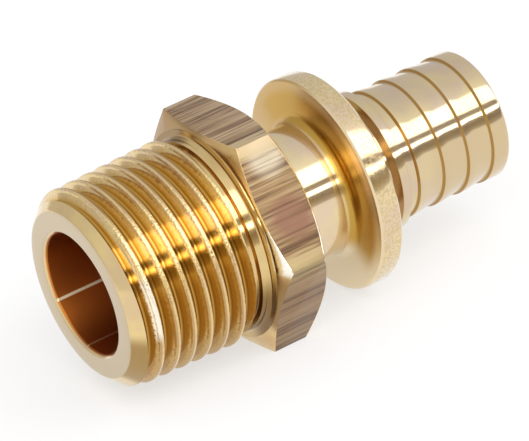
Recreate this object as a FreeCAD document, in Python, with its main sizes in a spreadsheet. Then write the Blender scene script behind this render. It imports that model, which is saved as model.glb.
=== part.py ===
"""Brass male adapter for PEX pipe: a taper thread, a hexagon, a collar and a ribbed spigot in one piece.

The axis lies along X, with the thread's end face at the -X end and the spigot's tip at the +X end.
The adapter lies on one flat of its hexagon, and the origin is below its middle, on that surface.
"""
import FreeCAD
import Part
import math
import os
import re

import Sketcher

# Driving dimensions, in millimetres and degrees
SIZES = {
    # Taper thread, from its end face
    "thread_diameter": 20.955,      # over the full thread form, at the gauge plane
    "gauge_length": 8.2,            # from the end face to the gauge plane
    "taper_ratio": 16,              # length over which the diameter grows by one
    "thread_pitch": 1.814,
    "thread_depth": 1.162,
    "thread_angle": 55,             # between the two sides of the groove
    "crest_shortfall": 0.07,        # the crests stop this far below the full form
    "groove_start": 1.19,           # from the end face to the first groove, along the top
    "thread_length": 13.2,
    "lead_height": 1.55,            # chamfer that starts the thread, measured across the axis
    "lead_angle": 45,               # of that chamfer, from the axis
    # Run-out groove and the plain ring beside the hexagon
    "runout_width": 1.0,
    "runout_diameter": 18.7,
    "ring_width": 0.95,
    "ring_diameter": 19.9,
    "ring_fillet": 0.45,
    # Hexagon
    "hex_flats": 22.4,
    "hex_width": 5.8,
    "front_inset": 0.7,             # from a flat in to where the front chamfer starts
    "front_angle": 19,              # of that chamfer, from the face
    "rear_inset": 0.5,
    "rear_angle": 30,
    # Neck and collar
    "neck_diameter": 13.5,
    "neck_length": 6.4,
    "cove_radius": 1.1,             # sweep from the neck up into the collar
    "collar_diameter": 22.3,
    "collar_width": 2.6,
    "collar_edge": 0.5,
    # Spigot
    "undercut_width": 2.5,          # from the collar to the first rib
    "undercut_depth": 0.52,         # below the small ribs
    "base_rib_rise": 0.62,          # how far the rib by the collar stands above the others
    "base_rib_land": 1.0,
    "base_rib_pitch": 2.55,         # from the rib by the collar to the first small rib
    "rib_diameter": 13.55,
    "rib_depth": 0.3,
    "rib_flank": 0.25,              # how far each rib's steep side leans
    "rib_land": 0.6,                # plain band on each small rib, before its ramp
    "rib_pitch": 3.0,
    "rib_count": 3,                 # small ribs before the tip
    "tip_length": 2.2,
    "tip_round": 0.4,
    # Bore
    "wide_bore": 12.5,
    "wide_bore_depth": 17.0,
    "bore_cone_angle": 59,          # of the cone between the two bores, from the axis
    "narrow_bore": 9.6,
    "mouth_chamfer": 0.35,
    "tip_mouth_chamfer": 0.25,
}
HEX_SIDES = 6
# Turns that the thread's cutter makes before it meets the end face
LEAD_IN_TURNS = 2
# How far a cutter or a blank stands out of the finished surface
CLEAR = 0.2
# How deep the turned body reaches into the nose, as a share of the nose's radius and length
CORE_SHARE = 0.8

# Places worked out from the driving dimensions: stations along the axis, and radii
PLACES = {
    "cone_slope": "1 / (2 * taper_ratio)",
    "form_at_face": "thread_diameter / 2 - gauge_length * cone_slope",
    "crest_at_face": "form_at_face - crest_shortfall",
    "crest_at_end": "crest_at_face + thread_length * cone_slope",
    "face_radius": "crest_at_face - lead_height",
    "lead_end": "lead_height / (tan(lead_angle * 1 deg) - cone_slope)",
    "crest_at_lead": "crest_at_face + lead_end * cone_slope",
    "cutter_start": f"groove_start - {LEAD_IN_TURNS} * thread_pitch",
    "groove_floor": "form_at_face + cutter_start * cone_slope - thread_depth",
    "groove_top": f"groove_floor + thread_depth + {CLEAR}",
    "half_form": "thread_depth * tan(thread_angle / 2 * 1 deg)",
    "half_floor": "(thread_pitch - 2 * half_form) / 4",
    "half_top": f"half_floor + half_form * (1 + {CLEAR} / thread_depth)",
    "top_left": "cutter_start - half_top",
    "floor_left": "cutter_start - half_floor",
    "floor_right": "cutter_start + half_floor",
    "top_right": "cutter_start + half_top",
    "core_radius": f"{CORE_SHARE} * crest_at_face",
    "core_start": f"{CORE_SHARE} * thread_length",
    "runout_radius": "runout_diameter / 2",
    "ring_front": "thread_length + runout_width",
    "ring_radius": "ring_diameter / 2",
    "hex_front": "ring_front + ring_width",
    "fillet_front": "hex_front - ring_fillet",
    "fillet_top": "ring_radius + ring_fillet",
    "hex_rear": "hex_front + hex_width",
    "flat_radius": "hex_flats / 2",
    "blank_radius": f"flat_radius / cos(180 deg / {HEX_SIDES}) + {CLEAR}",
    "blank_side": "-blank_radius",
    "front_radius": "flat_radius - front_inset",
    "front_end": "hex_front + (blank_radius - front_radius) * tan(front_angle * 1 deg)",
    "rear_radius": "flat_radius - rear_inset",
    "rear_end": "hex_rear - (blank_radius - rear_radius) * tan(rear_angle * 1 deg)",
    "neck_radius": "neck_diameter / 2",
    "collar_front": "hex_rear + neck_length",
    "cove_front": "collar_front - cove_radius",
    "cove_top": "neck_radius + cove_radius",
    "collar_rear": "collar_front + collar_width",
    "rim_radius": "collar_diameter / 2",
    "rim_edge": "rim_radius - collar_edge",
    "rim_front": "collar_front + collar_edge",
    "rim_rear": "collar_rear - collar_edge",
    "rib_radius": "rib_diameter / 2",
    "rib_foot": "rib_radius - rib_depth",
    "rib_clear": f"rib_radius + {CLEAR}",
    "undercut_radius": "rib_radius - undercut_depth",
    "base_rib_radius": "rib_radius + base_rib_rise",
    "base_rib": "collar_rear + undercut_width",
    "base_edge": "base_rib + rib_flank",
    "base_rear": "base_edge + base_rib_land",
    "second_rib": "base_rib + base_rib_pitch",
    "second_edge": "second_rib + rib_flank",
    "second_ramp": "second_edge + rib_land",
    "third_rib": "second_rib + rib_pitch",
    "third_clear": f"third_rib + rib_flank * (1 + {CLEAR} / rib_depth)",
    "tip_end": "second_rib + rib_count * rib_pitch + tip_length",
    "tip_shoulder": "tip_end - tip_round",
    "tip_radius": "rib_radius - tip_round",
    "wide_radius": "wide_bore / 2",
    "wide_end": "wide_bore_depth",
    "narrow_radius": "narrow_bore / 2",
    "cone_end": "wide_end + (wide_radius - narrow_radius) / tan(bore_cone_angle * 1 deg)",
    "mouth_outside": "-mouth_chamfer",
    "mouth_inside": "mouth_chamfer",
    "mouth_radius": "wide_radius + 2 * mouth_chamfer",
    "tip_mouth_inside": "tip_end - tip_mouth_chamfer",
    "tip_mouth_outside": "tip_end + tip_mouth_chamfer",
    "tip_mouth_radius": "narrow_radius + 2 * tip_mouth_chamfer",
}
OWNERS = dict.fromkeys(SIZES, "Sizes.") | dict.fromkeys(PLACES, "Places.")

doc = FreeCAD.newDocument("pex_male_adapter")

sheet = doc.addObject("Spreadsheet::Sheet", "Sizes")
for row, (alias, value) in enumerate(SIZES.items(), start=1):
    sheet.set(f"A{row}", alias)
    sheet.set(f"B{row}", str(value))
    sheet.setAlias(f"B{row}", alias)
doc.recompute()


def bound(formula):
    """The formula with each name joined to the object that holds it."""
    return re.sub(r"[a-z_]+", lambda word: OWNERS.get(word[0], "") + word[0], formula)


places = doc.addObject("App::VarSet", "Places")
for name, formula in PLACES.items():
    places.addProperty("App::PropertyFloat", name)
    places.setExpression(name, bound(formula))
doc.recompute()

body = doc.addObject("PartDesign::Body", "Adapter")
body.Label = "male_adapter"


def place(name):
    """The value of a place or a driving dimension, or zero for a point on an axis."""
    if name is None:
        return 0.0
    return float(getattr(sheet if name in SIZES else places, name))


def hold(sketch, kind, edge, vertex, name):
    """Hold a vertex at a named place along or across the axis, or on the axis itself."""
    if name is None:
        axis = -2 if kind == "DistanceX" else -1
        sketch.addConstraint(Sketcher.Constraint("PointOnObject", edge, vertex, axis))
        return
    number = sketch.addConstraint(Sketcher.Constraint(kind, -1, 1, edge, vertex, place(name)))
    sketch.setExpression(f"Constraints[{number}]", bound(name))


def draw(sketch, corners):
    """Draw a closed outline and hold every corner at its named place.

    A corner is (along, across), each the name of a place, or None for a point on that axis.
    Where it has a third item, (centre along, centre across), the run from that corner to the
    next one is a quarter circle about that centre.
    """
    points = [FreeCAD.Vector(place(corner[0]), place(corner[1]), 0) for corner in corners]
    vertices = []
    for number, corner in enumerate(corners):
        start = points[number]
        finish = points[(number + 1) % len(points)]
        if len(corner) == 2:
            sketch.addGeometry(Part.LineSegment(start, finish), False)
            vertices.append((1, 2))
            continue
        centre = FreeCAD.Vector(place(corner[2][0]), place(corner[2][1]), 0)
        circle = Part.Circle(centre, FreeCAD.Vector(0, 0, 1), (start - centre).Length)
        angles = [math.atan2(point.y - centre.y, point.x - centre.x) for point in (start, finish)]
        sketch.addGeometry(Part.ArcOfCircle(circle, min(angles), max(angles)), False)
        vertices.append((1, 2) if angles[0] < angles[1] else (2, 1))
    for number, corner in enumerate(corners):
        following = (number + 1) % len(corners)
        last, first = vertices[number][1], vertices[following][0]
        sketch.addConstraint(Sketcher.Constraint("Coincident", number, last, following, first))
        hold(sketch, "DistanceX", number, vertices[number][0], corner[0])
        hold(sketch, "DistanceY", number, vertices[number][0], corner[1])
        if len(corner) == 3:
            hold(sketch, "DistanceX", number, 3, corner[2][0])
    doc.recompute()
    sketch.Visibility = False


def axial_sketch(name, corners):
    """An outline that stands on its own, in the plane of the axis and the vertical."""
    sketch = doc.addObject("Sketcher::SketchObject", name)
    sketch.Placement.Rotation = FreeCAD.Rotation(FreeCAD.Vector(1, 0, 0), 90)
    draw(sketch, corners)
    return sketch


def body_sketch(name, role):
    """An empty sketch on one of the body's origin planes."""
    sketch = body.newObject("Sketcher::SketchObject", name)
    plane = next(item for item in body.Origin.OriginFeatures if item.Role == role)
    sketch.AttachmentSupport = [(plane, "")]
    sketch.MapMode = "FlatFace"
    return sketch


def changed(feature, before, sign):
    """Compute a feature, and see that it adds metal (a sign of 1) or takes it away (-1)."""
    doc.recompute()
    change = feature.Shape.Volume - before.Shape.Volume
    print(f"{feature.Label}: {change:+.1f} mm3")
    if change * sign <= 0:
        raise RuntimeError(f"{feature.Label} changes the volume the wrong way")
    return feature


def turn(kind, name, corners):
    """Turn an outline about the axis, adding metal with Revolution or cutting it with Groove."""
    sketch = body_sketch(f"{name}Outline", "XZ_Plane")
    draw(sketch, corners)
    feature = body.newObject(f"PartDesign::{kind}", name)
    feature.Profile = sketch
    feature.ReferenceAxis = (sketch, ["H_Axis"])
    feature.Angle = 360
    return changed(feature, feature.BaseFeature, 1 if kind == "Revolution" else -1)


def threaded_nose():
    """Tapered nose with its lead chamfer, and the helical groove that leaves the thread on it."""
    nose = doc.addObject("Part::Revolution", "NoseBlank")
    nose.Source = axial_sketch("NoseOutline", [
        (None, None),
        ("thread_length", None),
        ("thread_length", "crest_at_end"),
        ("lead_end", "crest_at_lead"),
        (None, "face_radius"),
    ])
    nose.Axis = FreeCAD.Vector(1, 0, 0)
    nose.Solid = True
    section = axial_sketch("ThreadSection", [
        ("top_left", "groove_top"),
        ("floor_left", "groove_floor"),
        ("floor_right", "groove_floor"),
        ("top_right", "groove_top"),
    ])
    # A right-handed helix on the thread's cone, which starts above the axis
    path = doc.addObject("Part::Helix", "ThreadPath")
    path.Placement.Rotation = FreeCAD.Rotation(FreeCAD.Vector(1, 0, 1), 180)
    path.setExpression(".Placement.Base.x", bound("cutter_start"))
    path.setExpression("Radius", bound("groove_floor"))
    path.setExpression("Pitch", bound("thread_pitch"))
    path.setExpression("Height", bound("thread_length + thread_pitch - cutter_start"))
    path.setExpression("Angle", bound("atan(cone_slope)"))
    path.SegmentLength = 1
    doc.recompute()
    cutter = doc.addObject("Part::Sweep", "ThreadCutter")
    cutter.Sections = [section]
    cutter.Spine = (path, [f"Edge{number + 1}" for number in range(len(path.Shape.Edges))])
    cutter.Solid = True
    cutter.Frenet = True
    threaded = doc.addObject("Part::Cut", "ThreadedNose")
    threaded.Base = nose
    threaded.Tool = cutter
    return changed(threaded, nose, -1)


def turned_body():
    """Run-out groove, ring, hexagon blank, neck, collar and spigot, turned as one outline."""
    turn("Revolution", "TurnedBody", [
        ("core_start", None),
        ("tip_end", None),
        ("tip_end", "tip_radius", ("tip_shoulder", "tip_radius")),
        ("tip_shoulder", "rib_radius"),
        ("second_edge", "rib_radius"),
        ("second_rib", "rib_foot"),
        ("base_rear", "rib_foot"),
        ("base_rear", "base_rib_radius"),
        ("base_edge", "base_rib_radius"),
        ("base_rib", "undercut_radius"),
        ("collar_rear", "undercut_radius"),
        ("collar_rear", "rim_edge"),
        ("rim_rear", "rim_radius"),
        ("rim_front", "rim_radius"),
        ("collar_front", "rim_edge"),
        ("collar_front", "cove_top", ("cove_front", "cove_top")),
        ("cove_front", "neck_radius"),
        ("hex_rear", "neck_radius"),
        ("hex_rear", "rear_radius"),
        ("rear_end", "blank_radius"),
        ("front_end", "blank_radius"),
        ("hex_front", "front_radius"),
        ("hex_front", "fillet_top", ("fillet_front", "fillet_top")),
        ("fillet_front", "ring_radius"),
        ("ring_front", "ring_radius"),
        ("ring_front", "runout_radius"),
        ("thread_length", "runout_radius"),
        ("thread_length", "core_radius"),
        ("core_start", "core_radius"),
    ])


def hexagon():
    """One flat milled off the blank, then the same flat repeated around the axis."""
    sketch = body_sketch("FlatOutline", "YZ_Plane")
    sketch.setExpression(".AttachmentOffset.Base.z", bound("hex_rear"))
    draw(sketch, [
        ("blank_side", "flat_radius"),
        ("blank_radius", "flat_radius"),
        ("blank_radius", "blank_radius"),
        ("blank_side", "blank_radius"),
    ])
    flat = body.newObject("PartDesign::Pocket", "Flat")
    flat.Profile = sketch
    flat.setExpression("Length", bound("hex_width"))
    changed(flat, flat.BaseFeature, -1)
    flats = body.newObject("PartDesign::PolarPattern", "Flats")
    flats.Originals = [flat]
    flats.Axis = (sketch, ["N_Axis"])
    flats.Angle = 360
    flats.Occurrences = HEX_SIDES
    body.Tip = flats
    changed(flats, flat, -1)


def rib_ramps():
    """The ramp behind the first small rib and the steep side of the next, then the same along the spigot."""
    ramp = turn("Groove", "Ramp", [
        ("second_ramp", "rib_radius"),
        ("third_rib", "rib_foot"),
        ("third_clear", "rib_clear"),
        ("second_ramp", "rib_clear"),
    ])
    ramps = body.newObject("PartDesign::LinearPattern", "Ramps")
    ramps.Originals = [ramp]
    ramps.Direction = (ramp.Profile[0], ["H_Axis"])
    ramps.Mode = "Spacing"
    ramps.setExpression("Offset", bound("rib_pitch"))
    ramps.setExpression("Occurrences", bound("rib_count"))
    body.Tip = ramps
    changed(ramps, ramp, -1)


def bore():
    """Wide bore from the thread's end, a cone, and the narrow bore on to the tip."""
    turn("Groove", "Bore", [
        ("mouth_outside", None),
        ("tip_mouth_outside", None),
        ("tip_mouth_outside", "tip_mouth_radius"),
        ("tip_mouth_inside", "narrow_radius"),
        ("cone_end", "narrow_radius"),
        ("wide_end", "wide_radius"),
        ("mouth_inside", "wide_radius"),
        ("mouth_outside", "mouth_radius"),
    ])


body.BaseFeature = threaded_nose()
turned_body()
hexagon()
rib_ramps()
bore()

# The origin lies below the middle of the length, where the lowest flat rests
body.setExpression(".Placement.Base.x", bound("-tip_end / 2"))
body.setExpression(".Placement.Base.z", bound("flat_radius"))
doc.recompute()

for item in doc.Objects:
    if "Invalid" in item.State or "Error" in item.State:
        raise RuntimeError(f"{item.Label} failed: {item.State}")
solids = body.Shape.Solids
if len(solids) != 1 or solids[0].isNull() or not solids[0].isValid():
    raise RuntimeError("the adapter isn't one valid solid")
adapter = solids[0]

os.makedirs("parts", exist_ok=True)
adapter.exportStep(f"parts/{body.Label}.step")
box = adapter.optimalBoundingBox(False)
print(f"box from {box.XMin:.2f}, {box.YMin:.2f}, {box.ZMin:.2f} to {box.XMax:.2f}, {box.YMax:.2f}, {box.ZMax:.2f}")
print(f"volume {adapter.Volume:.0f} mm3, centre of mass {adapter.CenterOfMass}")
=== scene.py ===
"""Dresses the brass male adapter: its pieces in fine detail, their finishes, and a plain white studio."""
import logging
import math
from dataclasses import dataclass
from enum import Enum

import bmesh
import bpy
from mathutils import Matrix, Vector


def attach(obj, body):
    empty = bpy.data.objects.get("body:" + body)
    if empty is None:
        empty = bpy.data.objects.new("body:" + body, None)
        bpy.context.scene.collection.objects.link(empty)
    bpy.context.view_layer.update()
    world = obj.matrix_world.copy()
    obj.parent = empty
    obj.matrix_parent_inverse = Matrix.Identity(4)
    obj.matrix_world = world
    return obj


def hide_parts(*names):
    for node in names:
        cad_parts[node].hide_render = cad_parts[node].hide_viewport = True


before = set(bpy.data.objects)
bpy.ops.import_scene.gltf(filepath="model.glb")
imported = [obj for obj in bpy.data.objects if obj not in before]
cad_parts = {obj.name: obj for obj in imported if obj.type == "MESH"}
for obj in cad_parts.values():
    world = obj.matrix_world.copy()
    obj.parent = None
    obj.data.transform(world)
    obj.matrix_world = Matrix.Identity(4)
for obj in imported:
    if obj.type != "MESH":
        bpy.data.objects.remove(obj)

MM = 0.001
NODE = "male_adapter"
BODY = "root"
AXIS = Vector((1.0, 0.0, 0.0))
# Points nearer to each other than this are one
WELD = 0.0005 * MM
# A face runs along the axis while its normal leans along it by less than this
LEVEL = 0.01
# Edges that turn by less than this look smooth
SMOOTH_UNDER = math.radians(28.0)
WHITE = (1.0, 1.0, 1.0, 1.0)
Tree = bpy.types.NodeTree
Socket = bpy.types.NodeSocket
log = logging.getLogger("adapter")


class Slot(Enum):
    """The record's material slots."""

    TURNED = "turned_brass"
    DRAWN = "drawn_skin"


@dataclass(frozen=True)
class Sizes:
    """The adapter's driving dimensions, in millimetres and degrees. Stations start at the thread's end face."""

    # Taper thread
    thread_diameter: float = 20.955  # over the full thread form, at the gauge plane
    gauge_length: float = 8.2  # from the end face to the gauge plane
    taper: float = 1.0 / 16.0  # growth of the diameter over the length
    thread_pitch: float = 1.814
    thread_depth: float = 1.162
    thread_angle: float = 55.0  # between the two sides of the groove
    crest_shortfall: float = 0.07  # the crests stop this far below the full form
    groove_start: float = 1.19  # from the end face to the first groove, along the top
    thread_length: float = 13.2
    lead_height: float = 1.55  # chamfer that starts the thread, measured across the axis
    # Run-out groove and the plain ring beside the hexagon
    runout_width: float = 1.0
    runout_diameter: float = 18.7
    ring_width: float = 0.95
    ring_diameter: float = 19.9
    ring_fillet: float = 0.45
    # Hexagon
    hex_flats: float = 22.4
    hex_width: float = 5.8
    front_inset: float = 0.7  # from a flat in to where the front chamfer starts
    front_angle: float = 19.0  # of that chamfer, from the face
    rear_inset: float = 0.5
    rear_angle: float = 30.0
    # Neck and collar
    neck_diameter: float = 13.5
    neck_length: float = 6.4
    cove_radius: float = 1.1  # sweep from the neck up into the collar
    collar_diameter: float = 22.3
    collar_width: float = 2.6
    collar_edge: float = 0.5
    # Spigot
    undercut_width: float = 2.5  # from the collar to the first rib
    undercut_depth: float = 0.52  # below the small ribs
    base_rib_rise: float = 0.62  # how far the rib by the collar stands above the others
    base_rib_land: float = 1.0
    base_rib_pitch: float = 2.55  # from the rib by the collar to the first small rib
    rib_diameter: float = 13.55
    rib_depth: float = 0.3
    rib_flank: float = 0.25  # how far each rib's steep side leans
    rib_land: float = 0.6  # plain band on each small rib, before its ramp
    rib_pitch: float = 3.0
    rib_count: int = 3  # small ribs before the tip
    tip_length: float = 2.2
    tip_round: float = 0.4
    # Bore
    wide_bore: float = 12.5
    wide_bore_depth: float = 17.0
    bore_cone_angle: float = 59.0  # of the cone between the two bores, from the axis
    narrow_bore: float = 9.6
    mouth_chamfer: float = 0.35
    tip_mouth_chamfer: float = 0.25

    @property
    def ring_front(self) -> float:
        """Station where the plain ring starts."""
        return self.thread_length + self.runout_width

    @property
    def hex_front(self) -> float:
        """Station of the hexagon's front face."""
        return self.ring_front + self.ring_width

    @property
    def hex_rear(self) -> float:
        """Station of the hexagon's rear face."""
        return self.hex_front + self.hex_width

    @property
    def collar_front(self) -> float:
        """Station of the collar's front face."""
        return self.hex_rear + self.neck_length

    @property
    def collar_rear(self) -> float:
        """Station of the collar's rear face."""
        return self.collar_front + self.collar_width

    @property
    def base_rib(self) -> float:
        """Station of the foot of the tall rib."""
        return self.collar_rear + self.undercut_width

    @property
    def second_rib(self) -> float:
        """Station of the foot of the first small rib."""
        return self.base_rib + self.base_rib_pitch

    @property
    def tip_end(self) -> float:
        """Station of the spigot's end, the adapter's whole length."""
        return self.second_rib + self.rib_count * self.rib_pitch + self.tip_length

    @property
    def cone_end(self) -> float:
        """Station where the cone between the two bores ends."""
        drop = (self.wide_bore - self.narrow_bore) / 2.0
        return self.wide_bore_depth + drop / math.tan(math.radians(self.bore_cone_angle))

    @property
    def crest_at_face(self) -> float:
        """Radius of the thread's crests, carried on to the end face."""
        return (self.thread_diameter - self.gauge_length * self.taper) / 2.0 - self.crest_shortfall

    @property
    def corner_radius(self) -> float:
        """Radius of the hexagon's corners."""
        return self.hex_flats / 2.0 / math.cos(math.radians(30.0))


@dataclass(frozen=True)
class Corner:
    """One corner of a turned outline, in millimetres.

    Attributes:
        x: its station from the thread's end face.
        r: its distance from the axis.
        ease: how far it is rounded.
        facets: how many flats that round has.
    """

    x: float
    r: float
    ease: float = 0.0
    facets: int = 3


class Section(Enum):
    """How an outline ends."""

    CLOSED = "closed"
    OPEN = "open"


def choose(piece: bpy.types.Object) -> None:
    """Make a piece the only one selected, and the active one.

    Args:
        piece: the object to work on.
    """
    bpy.ops.object.select_all(action="DESELECT")
    piece.select_set(True)
    bpy.context.view_layer.objects.active = piece


def start_edit(piece: bpy.types.Object) -> None:
    """Choose a piece and enter edit mode."""
    choose(piece)
    bpy.ops.object.mode_set(mode="EDIT")


def end_edit() -> None:
    """Go back to object mode."""
    bpy.ops.object.mode_set(mode="OBJECT")


def apply_modifier(piece: bpy.types.Object, modifier: bpy.types.Modifier) -> None:
    """Apply one of a piece's modifiers, already set up."""
    choose(piece)
    bpy.ops.object.modifier_apply(modifier=modifier.name)


@dataclass
class Lathe:
    """Draws outlines beside the axis and turns them round it.

    Attributes:
        sizes: the adapter's sizes.
        steps: facets in a full turn.
    """

    sizes: Sizes
    steps: int = 180

    @property
    def start(self) -> float:
        """The thread's end face along the X axis, in metres."""
        return -self.sizes.tip_end / 2.0 * MM

    @property
    def height(self) -> float:
        """The turning axis above the floor, in metres."""
        return self.sizes.hex_flats / 2.0 * MM

    def place(self, x: float, r: float) -> Vector:
        """Where a station and a radius in millimetres lie, straight above the axis and in metres."""
        return Vector((self.start + x * MM, 0.0, self.height + r * MM))

    def trace(self, name: str, corners: list[Corner], section: Section) -> bpy.types.Object:
        """Draw an outline as a chain of edges, with its corners eased.

        Args:
            name: the new piece's name.
            corners: the outline's corners in order.
            section: whether the last corner joins the first.

        Returns:
            The new object, a wire in the plane of the axis and the vertical.
        """
        bpy.ops.object.select_all(action="DESELECT")
        bpy.ops.mesh.primitive_plane_add(size=MM, location=(0.0, 0.0, 0.0))
        piece = bpy.context.object
        piece.name = name
        piece.data.name = name
        start_edit(piece)
        bpy.ops.mesh.select_all(action="SELECT")
        bpy.ops.mesh.merge(type="CENTER")
        points = [self.place(corner.x, corner.r) for corner in corners]
        bpy.ops.transform.translate(value=points[0])
        for here, there in zip(points, points[1:]):
            bpy.ops.mesh.extrude_vertices_move(TRANSFORM_OT_translate={"value": there - here})
        if section is Section.CLOSED:
            self.pick(piece, [points[0], points[-1]])
            bpy.ops.mesh.edge_face_add()
        for corner, point in zip(corners, points):
            if corner.ease > 0.0:
                self.pick(piece, [point])
                bpy.ops.mesh.bevel(
                    offset=corner.ease * MM, segments=corner.facets, affect="VERTICES", clamp_overlap=False
                )
        end_edit()
        return piece

    @staticmethod
    def pick(piece: bpy.types.Object, points: list[Vector]) -> None:
        """Select the vertices that lie at some points.

        Args:
            piece: the object in edit mode.
            points: the places, in metres.
        """
        bpy.ops.mesh.select_all(action="DESELECT")
        mesh = bmesh.from_edit_mesh(piece.data)
        for vertex in mesh.verts:
            vertex.select = any((vertex.co - point).length < WELD for point in points)
        mesh.select_flush(True)
        bmesh.update_edit_mesh(piece.data)

    def turn(self, name: str, corners: list[Corner]) -> bpy.types.Object:
        """Draw a closed outline and turn it round the axis into a closed shell.

        Args:
            name: the new piece's name.
            corners: the outline's corners in order.

        Returns:
            The turned piece.
        """
        piece = self.trace(name, corners, Section.CLOSED)
        start_edit(piece)
        bpy.ops.mesh.select_all(action="SELECT")
        bpy.ops.mesh.spin(steps=self.steps, angle=math.tau, center=(0.0, 0.0, self.height), axis=AXIS)
        bpy.ops.mesh.select_all(action="SELECT")
        bpy.ops.mesh.remove_doubles(threshold=WELD)
        bpy.ops.mesh.normals_make_consistent(inside=False)
        end_edit()
        return piece

    @staticmethod
    def keep_inside(piece: bpy.types.Object, envelope: bpy.types.Object) -> None:
        """Cut away what lies outside an envelope, which is used up.

        Args:
            piece: the piece to cut.
            envelope: a closed shell.
        """
        cut = piece.modifiers.new("envelope", "BOOLEAN")
        cut.operation = "INTERSECT"
        cut.solver = "EXACT"
        cut.object = envelope
        apply_modifier(piece, cut)
        bpy.data.objects.remove(envelope)


def linear(hex_colour: str) -> tuple[float, float, float, float]:
    """Turn an sRGB colour to the linear one that a shader takes.

    Args:
        hex_colour: six hex digits, such as "D8C48A".

    Returns:
        Red, green, blue and an alpha of 1.
    """
    values = [int(hex_colour[i:i + 2], 16) / 255.0 for i in (0, 2, 4)]
    red, green, blue = (v / 12.92 if v <= 0.04045 else ((v + 0.055) / 1.055) ** 2.4 for v in values)
    return (red, green, blue, 1.0)


def add_node(tree: Tree, kind: str, settings: dict[str, object] | None = None,
             inputs: dict[str | int, object] | None = None) -> bpy.types.Node:
    """Add a node, set its properties, and set or link its inputs.

    Args:
        tree: the material's or the world's node tree.
        kind: the node's type name.
        settings: properties by name.
        inputs: inputs by name or number, each with its value or with the output socket that feeds it.

    Returns:
        The node.
    """
    node = tree.nodes.new(kind)
    for name, value in (settings or {}).items():
        setattr(node, name, value)
    for key, value in (inputs or {}).items():
        if isinstance(value, Socket):
            tree.links.new(value, node.inputs[key])
        else:
            node.inputs[key].default_value = value
    return node


def product(tree: Tree, *shares: Socket | float) -> Socket:
    """Multiply shares, for a finish that lies only where all of them are full.

    Args:
        tree: the material's nodes.
        shares: sockets and numbers, with a socket first.

    Returns:
        The whole share's socket.
    """
    whole = shares[0]
    for share in shares[1:]:
        both = add_node(tree, "ShaderNodeMath", {"operation": "MULTIPLY"}, {0: whole, 1: share})
        whole = both.outputs["Value"]
    return whole


@dataclass(frozen=True)
class Fade:
    """Limits of a measure, between which a finish fades in.

    Attributes:
        off: where there is none of it. It can be above the other limit.
        on: where it is full.
        top: the full share.
    """

    off: float
    on: float
    top: float = 1.0

    def past(self, place: float) -> "Fade":
        """Tell limits that are counted from a place from zero instead."""
        return Fade(self.off + place, self.on + place, self.top)

    def share(self, tree: Tree, measure: Socket) -> Socket:
        """Turn the measure into the finish's share.

        Args:
            tree: the material's nodes.
            measure: what the limits tell of.

        Returns:
            The share's socket.
        """
        return add_node(tree, "ShaderNodeMapRange", {"interpolation_type": "SMOOTHSTEP"}, {
            "Value": measure, "From Min": self.off, "From Max": self.on, "To Max": self.top,
        }).outputs["Result"]


@dataclass(frozen=True)
class Axial:
    """Sockets that tell where a point lies about the turning axis, in millimetres and radians.

    Attributes:
        millimetres: the point, from the middle of the thread's end face.
        station: how far it lies along the axis.
        out: its distance from the axis.
        around: its angle about the axis, from +Y towards the top.
        along_and_out: its station and its distance added up.
        lean: how far the surface there faces along the axis, from -1 to 1.
    """

    millimetres: Socket
    station: Socket
    out: Socket
    around: Socket
    along_and_out: Socket
    lean: Socket


@dataclass(frozen=True)
class Side:
    """A part of the turn that a finish lies on, in degrees about the axis from +Y towards the top.

    Attributes:
        middle: its middle.
        reach: how far the finish is full on either side of it.
        fade: how much farther the finish takes to fade away.
        top: the full share.
    """

    middle: float
    reach: float
    fade: float
    top: float = 1.0

    def share(self, tree: Tree, axial: Axial) -> Socket:
        """Give the finish's share round the turn.

        Args:
            tree: the material's nodes.
            axial: sockets that give the place about the axis.

        Returns:
            The share's socket.
        """
        apart = add_node(tree, "ShaderNodeMath", {"operation": "SUBTRACT"}, {
            0: axial.around, 1: math.radians(self.middle),
        })
        facing = add_node(tree, "ShaderNodeMath", {"operation": "COSINE"}, {0: apart.outputs["Value"]})
        away, near = (math.cos(math.radians(angle)) for angle in (self.reach + self.fade, self.reach))
        return Fade(away, near, self.top).share(tree, facing.outputs["Value"])


def add_axial(tree: Tree, lathe: Lathe) -> Axial:
    """Add the nodes that tell where a point lies about the turning axis.

    Args:
        tree: the material's nodes.
        lathe: gives the place of the axis and of the thread's end face.

    Returns:
        The sockets.
    """
    place = add_node(tree, "ShaderNodeTexCoord")
    local = add_node(tree, "ShaderNodeMapping", {"vector_type": "POINT"}, {
        "Vector": place.outputs["Object"],
        "Location": (-lathe.start / MM, 0.0, -lathe.height / MM),
        "Scale": (1.0 / MM, 1.0 / MM, 1.0 / MM),
    })
    parts = add_node(tree, "ShaderNodeSeparateXYZ", {}, {"Vector": local.outputs["Vector"]})
    cross = add_node(tree, "ShaderNodeCombineXYZ", {}, {"Y": parts.outputs["Y"], "Z": parts.outputs["Z"]})
    out = add_node(tree, "ShaderNodeVectorMath", {"operation": "LENGTH"}, {0: cross.outputs["Vector"]})
    both = add_node(tree, "ShaderNodeMath", {"operation": "ADD"}, {
        0: parts.outputs["X"], 1: out.outputs["Value"],
    })
    around = add_node(tree, "ShaderNodeMath", {"operation": "ARCTAN2"}, {
        0: parts.outputs["Z"], 1: parts.outputs["Y"],
    })
    facing = add_node(tree, "ShaderNodeSeparateXYZ", {}, {"Vector": place.outputs["Normal"]})
    return Axial(
        millimetres=local.outputs["Vector"],
        station=parts.outputs["X"],
        out=out.outputs["Value"],
        around=around.outputs["Value"],
        along_and_out=both.outputs["Value"],
        lean=facing.outputs["X"],
    )


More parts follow.
